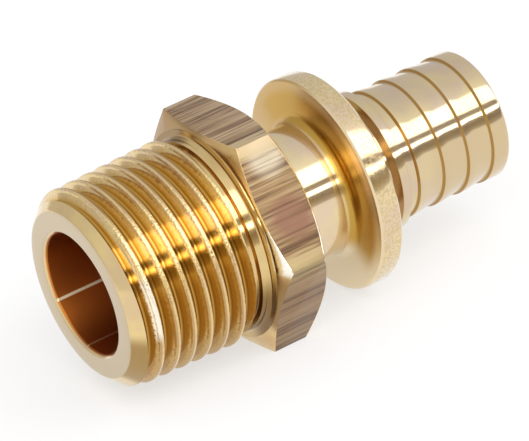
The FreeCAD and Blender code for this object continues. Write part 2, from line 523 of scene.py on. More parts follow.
@dataclass(frozen=True)
class Finish:
    """A finish of the adapter's metal.

    Attributes:
        name: the material's name.
    """

    name: str

    def make(self, lathe: Lathe) -> bpy.types.Material:
        """Make the material.

        Args:
            lathe: gives the place of the turning axis, and the adapter's sizes.

        Returns:
            The new material.
        """
        material = bpy.data.materials.new(self.name)
        material.use_nodes = True
        tree = material.node_tree
        tree.nodes.clear()
        shader = self.shade(tree, add_axial(tree, lathe), lathe.sizes)
        add_node(tree, "ShaderNodeOutputMaterial", {}, {"Surface": shader.outputs["BSDF"]})
        return material

    def shade(self, tree: Tree, axial: Axial, sizes: Sizes) -> bpy.types.Node:
        """Add the shader and what feeds it, which each finish does in its own way.

        Args:
            tree: the material's nodes.
            axial: sockets that give the place about the axis.
            sizes: the adapter's sizes.

        Returns:
            The shader's node.
        """
        raise NotImplementedError


@dataclass(frozen=True)
class Cut:
    """How one cut left the metal.

    Attributes:
        colour: what it reflects, as sRGB hex.
        roughness: how much it blurs what it reflects.
        film: strength of the clear film that air and oil leave on it.
    """

    colour: str
    roughness: float
    film: float


@dataclass(frozen=True)
class Layers:
    """A metal's nodes while its cuts are laid on, each over those before it.

    Attributes:
        tree: the material's nodes.
        axial: sockets that give the place about the axis.
        shader: the metal's shader.
        sizes: the adapter's sizes.
    """

    tree: Tree
    axial: Axial
    shader: bpy.types.Node
    sizes: Sizes

    def lay(self, cut: Cut, *shares: Socket | float) -> None:
        """Lay a cut where all of its shares are full.

        Args:
            cut: the cut.
            shares: where it lies, each from 0 to 1, with a socket first.
        """
        share = product(self.tree, *shares)
        below = self.shader.inputs["Base Color"].links[0].from_socket
        tint = add_node(self.tree, "ShaderNodeMix", {"data_type": "RGBA"}, {
            0: share, 6: below, 7: linear(cut.colour),
        })
        self.tree.links.new(tint.outputs[2], self.shader.inputs["Base Color"])
        for name, value in (("Roughness", cut.roughness), ("Coat Weight", cut.film)):
            socket = self.shader.inputs[name]
            under = socket.links[0].from_socket if socket.is_linked else socket.default_value
            mixed = add_node(self.tree, "ShaderNodeMix", {"data_type": "FLOAT"}, {
                0: share, 2: under, 3: value,
            })
            self.tree.links.new(mixed.outputs[0], socket)


@dataclass(frozen=True)
class TurnedBrass(Finish):
    """Brass straight from the lathe: a bright, clean cut that mirrors the room, with faint tool rings.

    The finishes below that start from it change some of these values and lay cuts of their own over it.

    Attributes:
        name: the material's name.
        cut: the usual finish.
        aged: colour where the air has dulled it a little, as sRGB hex.
        patch_mm: usual size of the dulled patches.
        patchy: how the dulled patches fade in, as limits of a noise.
        feed_mm: distance between the rings, drawn coarser than the real 0.1 mm so that they show.
        ring_mm: height of the rings.
        drilled: the bore's wall, which the drill left dull and dark.
        drilled_mm: how far from the axis that wall reaches.
        drilled_edge: how it fades in, from there.
    """

    name: str = "turned_brass"
    cut: Cut = Cut("E6CF98", 0.09, 1.0)
    aged: str = "DEC4A4"
    patch_mm: float = 3.0
    patchy: Fade = Fade(0.3, 0.7)
    feed_mm: float = 0.3
    ring_mm: float = 0.0001
    drilled: Cut = Cut("B88248", 0.45, 0.0)
    drilled_mm: float = 5.1
    drilled_edge: Fade = Fade(0.0, -0.15)

    def shade(self, tree: Tree, axial: Axial, sizes: Sizes) -> bpy.types.Node:
        """Add the metal's shader, with its rings, its dulled patches and its cuts.

        Args:
            tree: the material's nodes.
            axial: sockets that give the place about the axis.
            sizes: the adapter's sizes.

        Returns:
            The shader's node.
        """
        rings = add_node(tree, "ShaderNodeTexNoise", {"noise_dimensions": "1D"}, {
            "W": axial.along_and_out, "Scale": 1.0 / self.feed_mm, "Detail": 2.0,
        })
        relief = add_node(tree, "ShaderNodeBump", {}, {
            "Height": rings.outputs["Fac"], "Strength": 1.0, "Distance": self.ring_mm * MM,
        })
        patches = add_node(tree, "ShaderNodeTexNoise", {}, {
            "Vector": axial.millimetres, "Scale": 1.0 / self.patch_mm, "Detail": 2.0,
        })
        dulled = add_node(tree, "ShaderNodeMix", {"data_type": "RGBA"}, {
            0: self.patchy.share(tree, patches.outputs["Fac"]),
            6: linear(self.cut.colour),
            7: linear(self.aged),
        })
        shader = add_node(tree, "ShaderNodeBsdfPrincipled", {}, {
            "Base Color": dulled.outputs[2],
            "Normal": relief.outputs["Normal"],
            "Metallic": 1.0,
            "Roughness": self.cut.roughness,
            "Coat Weight": self.cut.film,
            "Coat Roughness": 0.2,
            "Coat IOR": 1.8,
        })
        layers = Layers(tree, axial, shader, sizes)
        self.mark(layers)
        layers.lay(self.drilled, self.drilled_edge.past(self.drilled_mm).share(tree, axial.out))
        return shader

    def mark(self, layers: Layers) -> None:
        """Lay on the cuts that differ from the usual one. Plain turned brass has none."""


@dataclass(frozen=True)
class TurnShade:
    """Painted shade that lies on some sides of the thread's turns.

    Attributes:
        cut: the cut.
        lean: how far the surface faces along the axis where it lies, from -1 to 1.
        depth: how far below the crests it lies, in millimetres.
        side: the part of the turn that it lies on.
    """

    cut: Cut
    lean: Fade
    depth: Fade
    side: Side


@dataclass(frozen=True)
class PaintedLine:
    """A pale line painted along the bore, standing in for a reflection.

    Attributes:
        degrees: where it lies about the axis.
        width: half its width, in degrees.
        strength: how much of the bore's own cut it hides.
    """

    degrees: float
    width: float
    strength: float


@dataclass(frozen=True)
class ThreadBrass(TurnedBrass):
    """Brass where the thread was cut: rough bright crests, and grooves torn matt, painted a deeper gold as
    shade.

    The bore inside it was cut with a blunter tool, which left it dull and red-brown. Painted shade darkens
    most of it, and pale painted reflections run along it. Depths are told in millimetres below the crests.

    Attributes:
        flank_shade: the cut on the grooves' sides, a deeper gold that is painted shade.
        flank_depth: where it starts.
        low_flank_depth: where it starts on the thread's lower side.
        low_flank_side: that lower side.
        root: the cut along the grooves' floors, a deeper gold that is painted shade.
        root_depth: where it starts.
        bore_depth: where the thread's cuts end, inside the nose.
        turn_shades: painted shade on the crests' rear half above and their front half below, and on the walls
            of the lower side that look to the end face.
        painted_glint: a painted highlight, near white, on the first crest.
        glint_station: where it ends along the axis.
        glint_depth: where it ends below the crest.
        glint_side: where it lies round the turn.
        behind_lead: how far behind the lead chamfer the thread's cuts start.
        painted_shade: painted shade on the lead chamfer's lower side.
        painted_shade_side: where that is.
        faced: the end face's cut.
        faced_station: where it ends along the axis.
        wall: where the bore's cuts end, beyond its radius.
        mouth: the bore's wall near its mouth.
        within: the bore's wall deeper in.
        within_station: where along the axis it takes over.
        painted_darkening: painted shade on the bore's wall, round most of it.
        darkening_side: where that is.
        painted_line_cut: the cut of the pale lines along the bore, which are painted reflections.
        painted_lines: those lines.
        speck_mm: size of the crests' notches.
        notch_mm: their greatest depth.
        notch_reach: where they end below the crests.
    """

    name: str = "thread_cut_brass"
    cut: Cut = Cut("E8CB88", 0.12, 0.7)
    aged: str = "DABD8C"
    # Painted shade: the grooves' sides and floors are a deeper gold, nearer the crests on the lower side.
    flank_shade: Cut = Cut("D6B26A", 0.11, 0.0)
    flank_depth: Fade = Fade(0.35, 0.9)
    low_flank_depth: Fade = Fade(0.05, 0.4)
    low_flank_side: Side = Side(205.0, 45.0, 15.0)
    root: Cut = Cut("BE9446", 0.12, 0.0)
    root_depth: Fade = Fade(0.8, 1.05)
    bore_depth: Fade = Fade(1.35, 1.25)
    # Painted shade: crests darker on their rear half above and front half below, lower walls browner.
    turn_shades: tuple[TurnShade, ...] = (
        TurnShade(Cut("A87C3C", 0.15, 0.1), Fade(-0.35, 0.0), Fade(0.45, 0.25), Side(45.0, 62.0, 24.0, 0.85)),
        TurnShade(Cut("8C5C22", 0.2, 0.0), Fade(-0.25, -0.5), Fade(0.25, 0.6), Side(208.0, 34.0, 14.0, 0.6)),
        TurnShade(Cut("A87C3C", 0.15, 0.1), Fade(-0.12, -0.4), Fade(0.5, 0.2), Side(208.0, 34.0, 14.0, 0.6)),
    )
    # Painted highlight: a near-white place on the first crest.
    painted_glint: Cut = Cut("FFF6E2", 0.25, 1.0)
    glint_station: Fade = Fade(3.0, 2.6)
    glint_depth: Fade = Fade(0.7, 0.4)
    glint_side: Side = Side(174.0, 10.0, 12.0)
    behind_lead: Fade = Fade(0.05, 0.25)
    # Painted shade on the lead chamfer's lower side.
    painted_shade: Cut = Cut("A8884E", 0.2, 0.3)
    painted_shade_side: Side = Side(213.0, 15.0, 12.0)
    faced: Cut = Cut("C9B592", 0.3, 0.6)
    faced_station: Fade = Fade(0.1, 0.02)
    wall: Fade = Fade(0.2, 0.05)
    mouth: Cut = Cut("CC7A34", 0.38, 0.0)
    within: Cut = Cut("F29848", 0.38, 0.0)
    within_station: Fade = Fade(0.3, 6.0)
    # Painted shade round most of the bore's wall.
    painted_darkening: Cut = Cut("84481E", 0.4, 0.0)
    darkening_side: Side = Side(160.0, 120.0, 48.0, 0.75)
    # Painted reflections: pale lines along the bore.
    painted_line_cut: Cut = Cut("FFF3D2", 0.7, 1.0)
    painted_lines: tuple[PaintedLine, ...] = (PaintedLine(-26.5, 1.3, 1.0), PaintedLine(-79.0, 1.0, 0.25))
    speck_mm: float = 0.3
    notch_mm: float = 0.09
    notch_reach: Fade = Fade(0.35, 0.05)

    def mark(self, layers: Layers) -> None:
        """Paint shade in the grooves and crests, roughen the crests, and paint the bore's shade and pale lines.

        Args:
            layers: the metal's nodes.
        """
        tree, axial, sizes = layers.tree, layers.axial, layers.sizes
        specks = add_node(tree, "ShaderNodeTexNoise", {}, {
            "Vector": axial.millimetres, "Scale": 1.0 / self.speck_mm, "Detail": 3.0,
        }).outputs["Fac"]
        crest = add_node(tree, "ShaderNodeMath", {"operation": "MULTIPLY_ADD"}, {
            0: axial.station, 1: sizes.taper / 2.0, 2: sizes.crest_at_face,
        })
        below = add_node(tree, "ShaderNodeMath", {"operation": "SUBTRACT"}, {
            0: crest.outputs["Value"], 1: axial.out,
        }).outputs["Value"]
        slant = add_node(tree, "ShaderNodeMath", {"operation": "SUBTRACT"}, {0: axial.station, 1: axial.out})
        lead = sizes.lead_height - sizes.crest_at_face
        behind_lead = self.behind_lead.past(lead).share(tree, slant.outputs["Value"])
        self.mark_turns(layers, specks, below, behind_lead)
        chamfer = add_node(tree, "ShaderNodeMath", {"operation": "SUBTRACT"}, {0: 1.0, 1: behind_lead})
        layers.lay(self.painted_shade, chamfer.outputs["Value"], self.painted_shade_side.share(tree, axial))
        layers.lay(self.faced, self.faced_station.share(tree, axial.station))
        self.mark_bore(layers)
        self.roughen(layers, specks, below)

    def mark_turns(self, layers: Layers, specks: Socket, below: Socket, behind_lead: Socket) -> None:
        """Lay on the painted shade of the grooves and crests, and the first crest's painted highlight.

        Args:
            layers: the metal's nodes.
            specks: a pattern from 0 to 1 that tears the cuts' edges.
            below: gives the depth below the crests.
            behind_lead: share of the surface that lies behind the lead chamfer.
        """
        tree, axial = layers.tree, layers.axial
        uneven = add_node(tree, "ShaderNodeMath", {"operation": "MULTIPLY_ADD"}, {0: specks, 1: 1.0, 2: -0.5})
        torn = add_node(tree, "ShaderNodeMath", {"operation": "ADD"}, {
            0: below, 1: uneven.outputs["Value"],
        }).outputs["Value"]
        low_side = self.low_flank_side.share(tree, axial)
        deep = add_node(tree, "ShaderNodeMath", {"operation": "MAXIMUM"}, {
            0: self.flank_depth.share(tree, torn),
            1: product(tree, self.low_flank_depth.share(tree, torn), low_side),
        })
        threaded = product(tree, behind_lead, self.bore_depth.share(tree, below))
        layers.lay(self.flank_shade, deep.outputs["Value"], threaded)
        layers.lay(self.root, self.root_depth.share(tree, below), threaded)
        for mark in self.turn_shades:
            lean, depth = mark.lean.share(tree, axial.lean), mark.depth.share(tree, torn)
            layers.lay(mark.cut, lean, depth, mark.side.share(tree, axial), threaded)
        layers.lay(
            self.painted_glint,
            self.glint_station.share(tree, axial.station),
            self.glint_depth.share(tree, torn),
            self.glint_side.share(tree, axial),
            behind_lead,
        )

    def mark_bore(self, layers: Layers) -> None:
        """Lay on the bore's cuts: painted shade round most of it, and pale painted reflections along it.

        Args:
            layers: the metal's nodes.
        """
        tree, axial = layers.tree, layers.axial
        inside = self.wall.past(layers.sizes.wide_bore / 2.0).share(tree, axial.out)
        layers.lay(self.mouth, inside)
        layers.lay(self.within, inside, self.within_station.share(tree, axial.station))
        layers.lay(self.painted_darkening, inside, self.darkening_side.share(tree, axial))
        for painted_line in self.painted_lines:
            line = add_node(tree, "ShaderNodeMath", {"operation": "COMPARE"}, {
                0: axial.around, 1: math.radians(painted_line.degrees), 2: math.radians(painted_line.width),
            })
            layers.lay(self.painted_line_cut, line.outputs["Value"], inside, painted_line.strength)

    def roughen(self, layers: Layers, specks: Socket, below: Socket) -> None:
        """Notch the crests.

        Args:
            layers: the metal's nodes.
            specks: a pattern from 0 to 1 as fine as the notches.
            below: gives the depth below the crests.
        """
        tree, normal = layers.tree, layers.shader.inputs["Normal"]
        relief = add_node(tree, "ShaderNodeBump", {}, {
            "Height": product(tree, specks, self.notch_reach.share(tree, below)),
            "Normal": normal.links[0].from_socket,
            "Strength": 1.0,
            "Distance": self.notch_mm * MM,
        })
        tree.links.new(relief.outputs["Normal"], normal)


@dataclass(frozen=True)
class RingBrass(TurnedBrass):
    """Brass of the plain ring behind the thread: golden, with painted shade on two sides.

    Attributes:
        painted_darkening: the cut of its painted shade.
        darkening_sides: where they lie.
    """

    name: str = "ring_brass"
    drilled_mm: float = 6.45
    cut: Cut = Cut("DFC284", 0.12, 0.5)
    aged: str = "D2B272"
    # Painted shade on two sides of the ring.
    painted_darkening: Cut = Cut("8A6A38", 0.2, 0.2)
    darkening_sides: tuple[Side, ...] = (Side(56.0, 18.0, 16.0, 0.9), Side(216.0, 12.0, 20.0))

    def mark(self, layers: Layers) -> None:
        """Paint shade on two sides of the ring."""
        for side in self.darkening_sides:
            layers.lay(self.painted_darkening, side.share(layers.tree, layers.axial))


@dataclass(frozen=True)
class ChamferBrass(TurnedBrass):
    """Brass of the hexagon's ends, turned with a coarse feed: duller and a deeper gold than the rest.

    Attributes:
        painted_shade: painted shade on the chamfers.
        painted_shade_sides: where that is.
        painted_glint: a painted highlight on the chamfers by a corner.
        glint_out: how far out that starts, from the flats' distance, in millimetres.
        glint_side: where it lies round the turn.
    """

    name: str = "coarse_turned_brass"
    drilled_mm: float = 6.45
    cut: Cut = Cut("E9CB89", 0.2, 0.4)
    aged: str = "DCB678"
    feed_mm: float = 0.35
    ring_mm: float = 0.002
    # Painted shade on the chamfers at two sides.
    painted_shade: Cut = Cut("94703E", 0.3, 0.2)
    painted_shade_sides: tuple[Side, ...] = (Side(203.0, 14.0, 10.0, 0.9), Side(64.0, 26.0, 16.0, 0.8))
    # Painted highlight: a near-white place on the chamfers by one corner.
    painted_glint: Cut = Cut("FFFAEC", 0.12, 1.0)
    glint_out: Fade = Fade(-0.6, -0.3)
    glint_side: Side = Side(171.0, 9.0, 4.0)

    def mark(self, layers: Layers) -> None:
        """Paint shade on the chamfers at two sides, and a highlight by the corner between them.

        Args:
            layers: the metal's nodes.
        """
        tree, axial = layers.tree, layers.axial
        for side in self.painted_shade_sides:
            layers.lay(self.painted_shade, side.share(tree, axial))
        near_corner = self.glint_out.past(layers.sizes.hex_flats / 2.0).share(tree, axial.out)
        layers.lay(self.painted_glint, near_corner, self.glint_side.share(tree, axial))


@dataclass(frozen=True)
class CoveBrass(TurnedBrass):
    """Brass of the neck and collar: a bright neck, and a cove and a face above it that came off matt;
    the cove's deeper gold is painted shade.

    Attributes:
        face: the cut of the collar's front face.
        face_lean: how far a surface of that face looks along the axis, from -1 to 1.
        painted_shade: painted shade on that face's upper side.
        painted_shade_side: where that is.
        cove: the cove's matt cut, whose deeper gold is painted shade.
        cove_start: where it starts, from the cove's own start, in millimetres.
        cove_end: where it ends, from the collar's front, in millimetres.
        cove_out: where it ends, from the neck's radius out, in millimetres.
        cove_side: where it lies round the turn.
        rubbed: the grains that wear has left on the collar's rim.
        rubbed_out: where they start, from the rim's radius, in millimetres.
        grain_mm: usual size of those grains.
        grainy: how they fade in, as limits of a noise.
    """

    name: str = "formed_brass"
    face: Cut = Cut("EEDAB0", 0.35, 0.6)
    face_lean: Fade = Fade(-0.3, -0.8)
    # Painted shade on the collar face's upper side.
    painted_shade: Cut = Cut("CCA868", 0.3, 0.2)
    painted_shade_side: Side = Side(55.0, 22.0, 40.0)
    # Painted shade: the cove's deeper gold.
    cove: Cut = Cut("C49C48", 0.26, 0.0)
    cove_start: Fade = Fade(0.0, 0.5)
    cove_end: Fade = Fade(0.3, 0.1)
    cove_out: Fade = Fade(3.9, 2.6)
    cove_side: Side = Side(130.0, 78.0, 24.0)
    rubbed: Cut = Cut("D2B880", 0.24, 0.6)
    rubbed_out: Fade = Fade(-0.1, -0.02, 0.7)
    grain_mm: float = 0.3
    grainy: Fade = Fade(0.42, 0.6)

    def mark(self, layers: Layers) -> None:
        """Dull the collar's front face, paint shade on its upper side and in the cove, and rub the rim.

        Args:
            layers: the metal's nodes.
        """
        tree, axial, sizes = layers.tree, layers.axial, layers.sizes
        face = self.face_lean.share(tree, axial.lean)
        layers.lay(self.face, face)
        layers.lay(self.painted_shade, face, self.painted_shade_side.share(tree, axial))
        layers.lay(
            self.cove,
            self.cove_start.past(sizes.collar_front - sizes.cove_radius).share(tree, axial.station),
            self.cove_end.past(sizes.collar_front).share(tree, axial.station),
            self.cove_out.past(sizes.neck_diameter / 2.0).share(tree, axial.out),
            self.cove_side.share(tree, axial),
        )
        grains = add_node(tree, "ShaderNodeTexNoise", {}, {
            "Vector": axial.millimetres, "Scale": 1.0 / self.grain_mm, "Detail": 2.0,
        })
        rim = self.rubbed_out.past(sizes.collar_diameter / 2.0).share(tree, axial.out)
        layers.lay(self.rubbed, self.grainy.share(tree, grains.outputs["Fac"]), rim)


@dataclass(frozen=True)
class RibBrass(TurnedBrass):
    """Brass of the spigot: bright ribs, with matt steep sides whose darker gold is painted shade.

    Attributes:
        painted_low_shade: painted shade on the spigot's lower front side.
        low_shade_station: where that starts, from the foot of the tall rib, in millimetres.
        low_shade_side: where it lies round the turn.
        steep: the cut of the steep sides, matt and a darker gold that is painted shade.
        steep_lean: how far a steep side looks along the axis, from -1 to 1.
        tall_share: how strong that cut is on the tall rib.
        small_station: where the rest of its strength comes in, from the foot of the tall rib, in millimetres.
    """

    name: str = "ribbed_brass"
    cut: Cut = Cut("D8C18D", 0.09, 1.0)
    aged: str = "D0B798"
    # Painted shade on the spigot's lower front side.
    painted_low_shade: Cut = Cut("D0B88E", 0.1, 0.5)
    low_shade_station: Fade = Fade(3.0, 6.0)
    low_shade_side: Side = Side(200.0, 30.0, 16.0, 0.8)
    # Painted shade: the steep sides are a darker gold, less on the tall rib.
    steep: Cut = Cut("A67C32", 0.25, 0.0)
    steep_lean: Fade = Fade(-0.45, -0.77)
    tall_share: float = 0.4
    small_station: Fade = Fade(0.8, 1.2, 0.6)

    def mark(self, layers: Layers) -> None:
        """Paint shade on the spigot's lower front side and on the ribs' steep sides.

        Args:
            layers: the metal's nodes.
        """
        tree, axial, start = layers.tree, layers.axial, layers.sizes.base_rib
        painted_low_shade = self.low_shade_station.past(start).share(tree, axial.station)
        layers.lay(self.painted_low_shade, painted_low_shade, self.low_shade_side.share(tree, axial))
        small = self.small_station.past(start).share(tree, axial.station)
        strength = add_node(tree, "ShaderNodeMath", {"operation": "ADD"}, {0: small, 1: self.tall_share})
        layers.lay(self.steep, self.steep_lean.share(tree, axial.lean), strength.outputs["Value"])


@dataclass(frozen=True)
class Patch:
    """A round patch of another colour on the bar's skin.

    Attributes:
        station: its middle along the axis, in millimetres from the thread's end face.
        degrees: the flat it lies on, by the angle of that flat's normal.
        along: its middle along the flat, in millimetres from the flat's centre line.
        reach: its radius, in millimetres.
        colour: its colour, as sRGB hex.
        strength: how much of the skin's own colour it hides.
        core: share of its radius within which it is full.
    """

    station: float
    degrees: float
    along: float
    reach: float
    colour: str
    strength: float
    core: float = 0.4


@dataclass(frozen=True)
class Streaks:
    """A pattern that the die drew out along the bar.

    Attributes:
        width: usual width of a streak, in millimetres.
        squeeze: share of the pattern's usual pace at which it changes along the bar.
        detail: how many finer patterns it carries.
    """

    width: float
    squeeze: float
    detail: float

    def draw(self, tree: Tree, axial: Axial) -> Socket:
        """Draw the pattern.

        Args:
            tree: the material's nodes.
            axial: sockets that give the place about the axis.

        Returns:
            A socket from 0 to 1.
        """
        stretched = add_node(tree, "ShaderNodeVectorMath", {"operation": "MULTIPLY"}, {
            0: axial.millimetres, 1: (self.squeeze, 1.0, 1.0),
        })
        return add_node(tree, "ShaderNodeTexNoise", {}, {
            "Vector": stretched.outputs["Vector"],
            "Scale": 1.0 / self.width,
            "Detail": self.detail,
            "Roughness": 0.6,
        }).outputs["Fac"]


@dataclass(frozen=True)
class DrawnSkin(Finish):
    """Skin of drawn hexagonal bar: dull brown oxide, streaked along the bar by the die and worn off its corners.

    Attributes:
        name: the material's name.
        dark: colour of the thickest oxide.
        brown: its usual colour.
        rubbed: colour where the die has rubbed it thin.
        tones: where those three colours lie in the pattern of streaks, from 0 to 1.
        broad: the broad streaks.
        fine: the fine lines.
        fine_share: how much of the pattern those lines make up.
        deep_mm: height of the pattern's relief.
        patches: places where heat or rubbing has changed the colour.
        patch_streaks: how the patches take up the streaks, as limits of the pattern.
        patch_least: share of a patch that lies between the streaks all the same.
        bare: colour of the metal at the worn corners.
        bare_out: how far from the axis it starts, in millimetres, with the streaks' push added.
        bare_push: the strongest push that the streaks give a point outwards, in millimetres.
        bare_side: where it lies round the turn.
        front_darkening: colour that the flats facing the front are multiplied by, which darkens them.
        front_darkening_side: where that is.
    """

    name: str = "drawn_skin"
    dark: str = "715847"
    brown: str = "A78A6C"
    rubbed: str = "D2BA97"
    tones: tuple[float, float, float] = (0.4, 0.5, 0.62)
    broad: Streaks = Streaks(1.1, 0.01, 2.0)
    fine: Streaks = Streaks(0.26, 0.03, 3.0)
    fine_share: float = 0.55
    deep_mm: float = 0.012
    patches: tuple[Patch, ...] = (
        Patch(18.4, 150.0, 1.6, 3.0, "9C7068", 0.85),
        Patch(18.4, 150.0, -4.6, 2.6, "E4DACE", 0.95),
        Patch(17.5, 210.0, -0.5, 7.5, "C2A088", 0.75),
        Patch(17.5, 330.0, 2.0, 3.5, "96706A", 0.5),
    )
    patch_streaks: Fade = Fade(0.38, 0.58)
    patch_least: float = 0.4
    bare: str = "D4BF99"
    bare_out: Fade = Fade(13.65, 14.15)
    bare_push: float = 3.2
    bare_side: Side = Side(150.0, 37.0, 6.0, 0.8)
    # Darker on the flats that face the front.
    front_darkening: str = "DCD9CA"
    front_darkening_side: Side = Side(180.0, 52.0, 10.0)

    def shade(self, tree: Tree, axial: Axial, sizes: Sizes) -> bpy.types.Node:
        """Add the skin's shader, with its streaks, patches, worn corners and darker front flats.

        Args:
            tree: the material's nodes.
            axial: sockets that give the place about the axis.
            sizes: the adapter's sizes.

        Returns:
            The shader's node.
        """
        pattern = add_node(tree, "ShaderNodeMix", {"data_type": "FLOAT"}, {
            0: self.fine_share, 2: self.broad.draw(tree, axial), 3: self.fine.draw(tree, axial),
        }).outputs[0]
        bands = add_node(tree, "ShaderNodeValToRGB", {}, {"Fac": pattern})
        stops = bands.color_ramp.elements
        stops[0].position, stops[0].color = self.tones[0], linear(self.dark)
        stops[1].position, stops[1].color = self.tones[2], linear(self.rubbed)
        stops.new(self.tones[1]).color = linear(self.brown)
        colour = bands.outputs["Color"]
        for patch in self.patches:
            colour = self.stain(tree, axial, patch, colour, pattern, sizes)
        pushed = add_node(tree, "ShaderNodeMath", {"operation": "MULTIPLY_ADD"}, {
            0: pattern, 1: self.bare_push, 2: axial.out,
        })
        near_corner = self.bare_out.share(tree, pushed.outputs["Value"])
        bared = add_node(tree, "ShaderNodeMix", {"data_type": "RGBA"}, {
            0: product(tree, near_corner, self.bare_side.share(tree, axial)), 6: colour, 7: linear(self.bare),
        })
        dulled = add_node(tree, "ShaderNodeMix", {"data_type": "RGBA", "blend_type": "MULTIPLY"}, {
            0: self.front_darkening_side.share(tree, axial), 6: bared.outputs[2], 7: linear(self.front_darkening),
        })
        relief = add_node(tree, "ShaderNodeBump", {}, {
            "Height": pattern, "Strength": 1.0, "Distance": self.deep_mm * MM,
        })
        return add_node(tree, "ShaderNodeBsdfPrincipled", {}, {
            "Base Color": dulled.outputs[2],
            "Normal": relief.outputs["Normal"],
            "Metallic": 0.8,
            "Roughness": 0.4,
        })

    def stain(self, tree: Tree, axial: Axial, patch: Patch, colour: Socket, pattern: Socket,
              sizes: Sizes) -> Socket:
        """Lay a patch over a colour.

        Args:
            tree: the material's nodes.
            axial: sockets that give the place about the axis.
            patch: the patch.
            colour: the colour below it.
            pattern: the streaks that the patch takes up, from 0 to 1.
            sizes: the adapter's sizes.

        Returns:
            The colour socket.
        """
        turn = math.radians(patch.degrees)
        flat = sizes.hex_flats / 2.0
        middle = (
            patch.station,
            flat * math.cos(turn) - patch.along * math.sin(turn),
            flat * math.sin(turn) + patch.along * math.cos(turn),
        )
        away = add_node(tree, "ShaderNodeVectorMath", {"operation": "DISTANCE"}, {
            0: axial.millimetres, 1: middle,
        })
        share = add_node(tree, "ShaderNodeMapRange", {"interpolation_type": "SMOOTHSTEP"}, {
            "Value": away.outputs["Value"],
            "From Min": patch.reach * patch.core,
            "From Max": patch.reach,
            "To Min": patch.strength,
            "To Max": 0.0,
        })
        taken = add_node(tree, "ShaderNodeMath", {"operation": "MULTIPLY_ADD"}, {
            0: self.patch_streaks.share(tree, pattern), 1: 1.0 - self.patch_least, 2: self.patch_least,
        })
        return add_node(tree, "ShaderNodeMix", {"data_type": "RGBA"}, {
            0: product(tree, share.outputs["Result"], taken.outputs["Value"]),
            6: colour,
            7: linear(patch.colour),
        }).outputs[2]


@dataclass
class SubAssembly:
    """A part of the adapter that is built and dressed by itself.

    Attributes:
        lathe: turns its outlines, and holds the adapter's sizes.
    """

    lathe: Lathe

    @property
    def sizes(self) -> Sizes:
        """The adapter's sizes."""
        return self.lathe.sizes

    def build(self) -> None:
        """Build and dress its pieces, which each sub-assembly does in its own way."""
        raise NotImplementedError

    def dress(self, piece: bpy.types.Object, slot: Slot, *finishes: Finish) -> None:
        """Give a finished piece its materials, smooth its rounds and tie it to the frame.

        Args:
            piece: the finished piece.
            slot: the record's material slot; not used.
            finishes: its finishes, by the numbers that its faces carry.
        """
        for finish in finishes:
            piece.data.materials.append(finish.make(self.lathe))
        choose(piece)
        bpy.ops.object.shade_smooth_by_angle(angle=SMOOTH_UNDER)
        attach(piece, BODY)
        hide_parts(NODE)
        log.info("%s: %d faces", piece.name, len(piece.data.polygons))


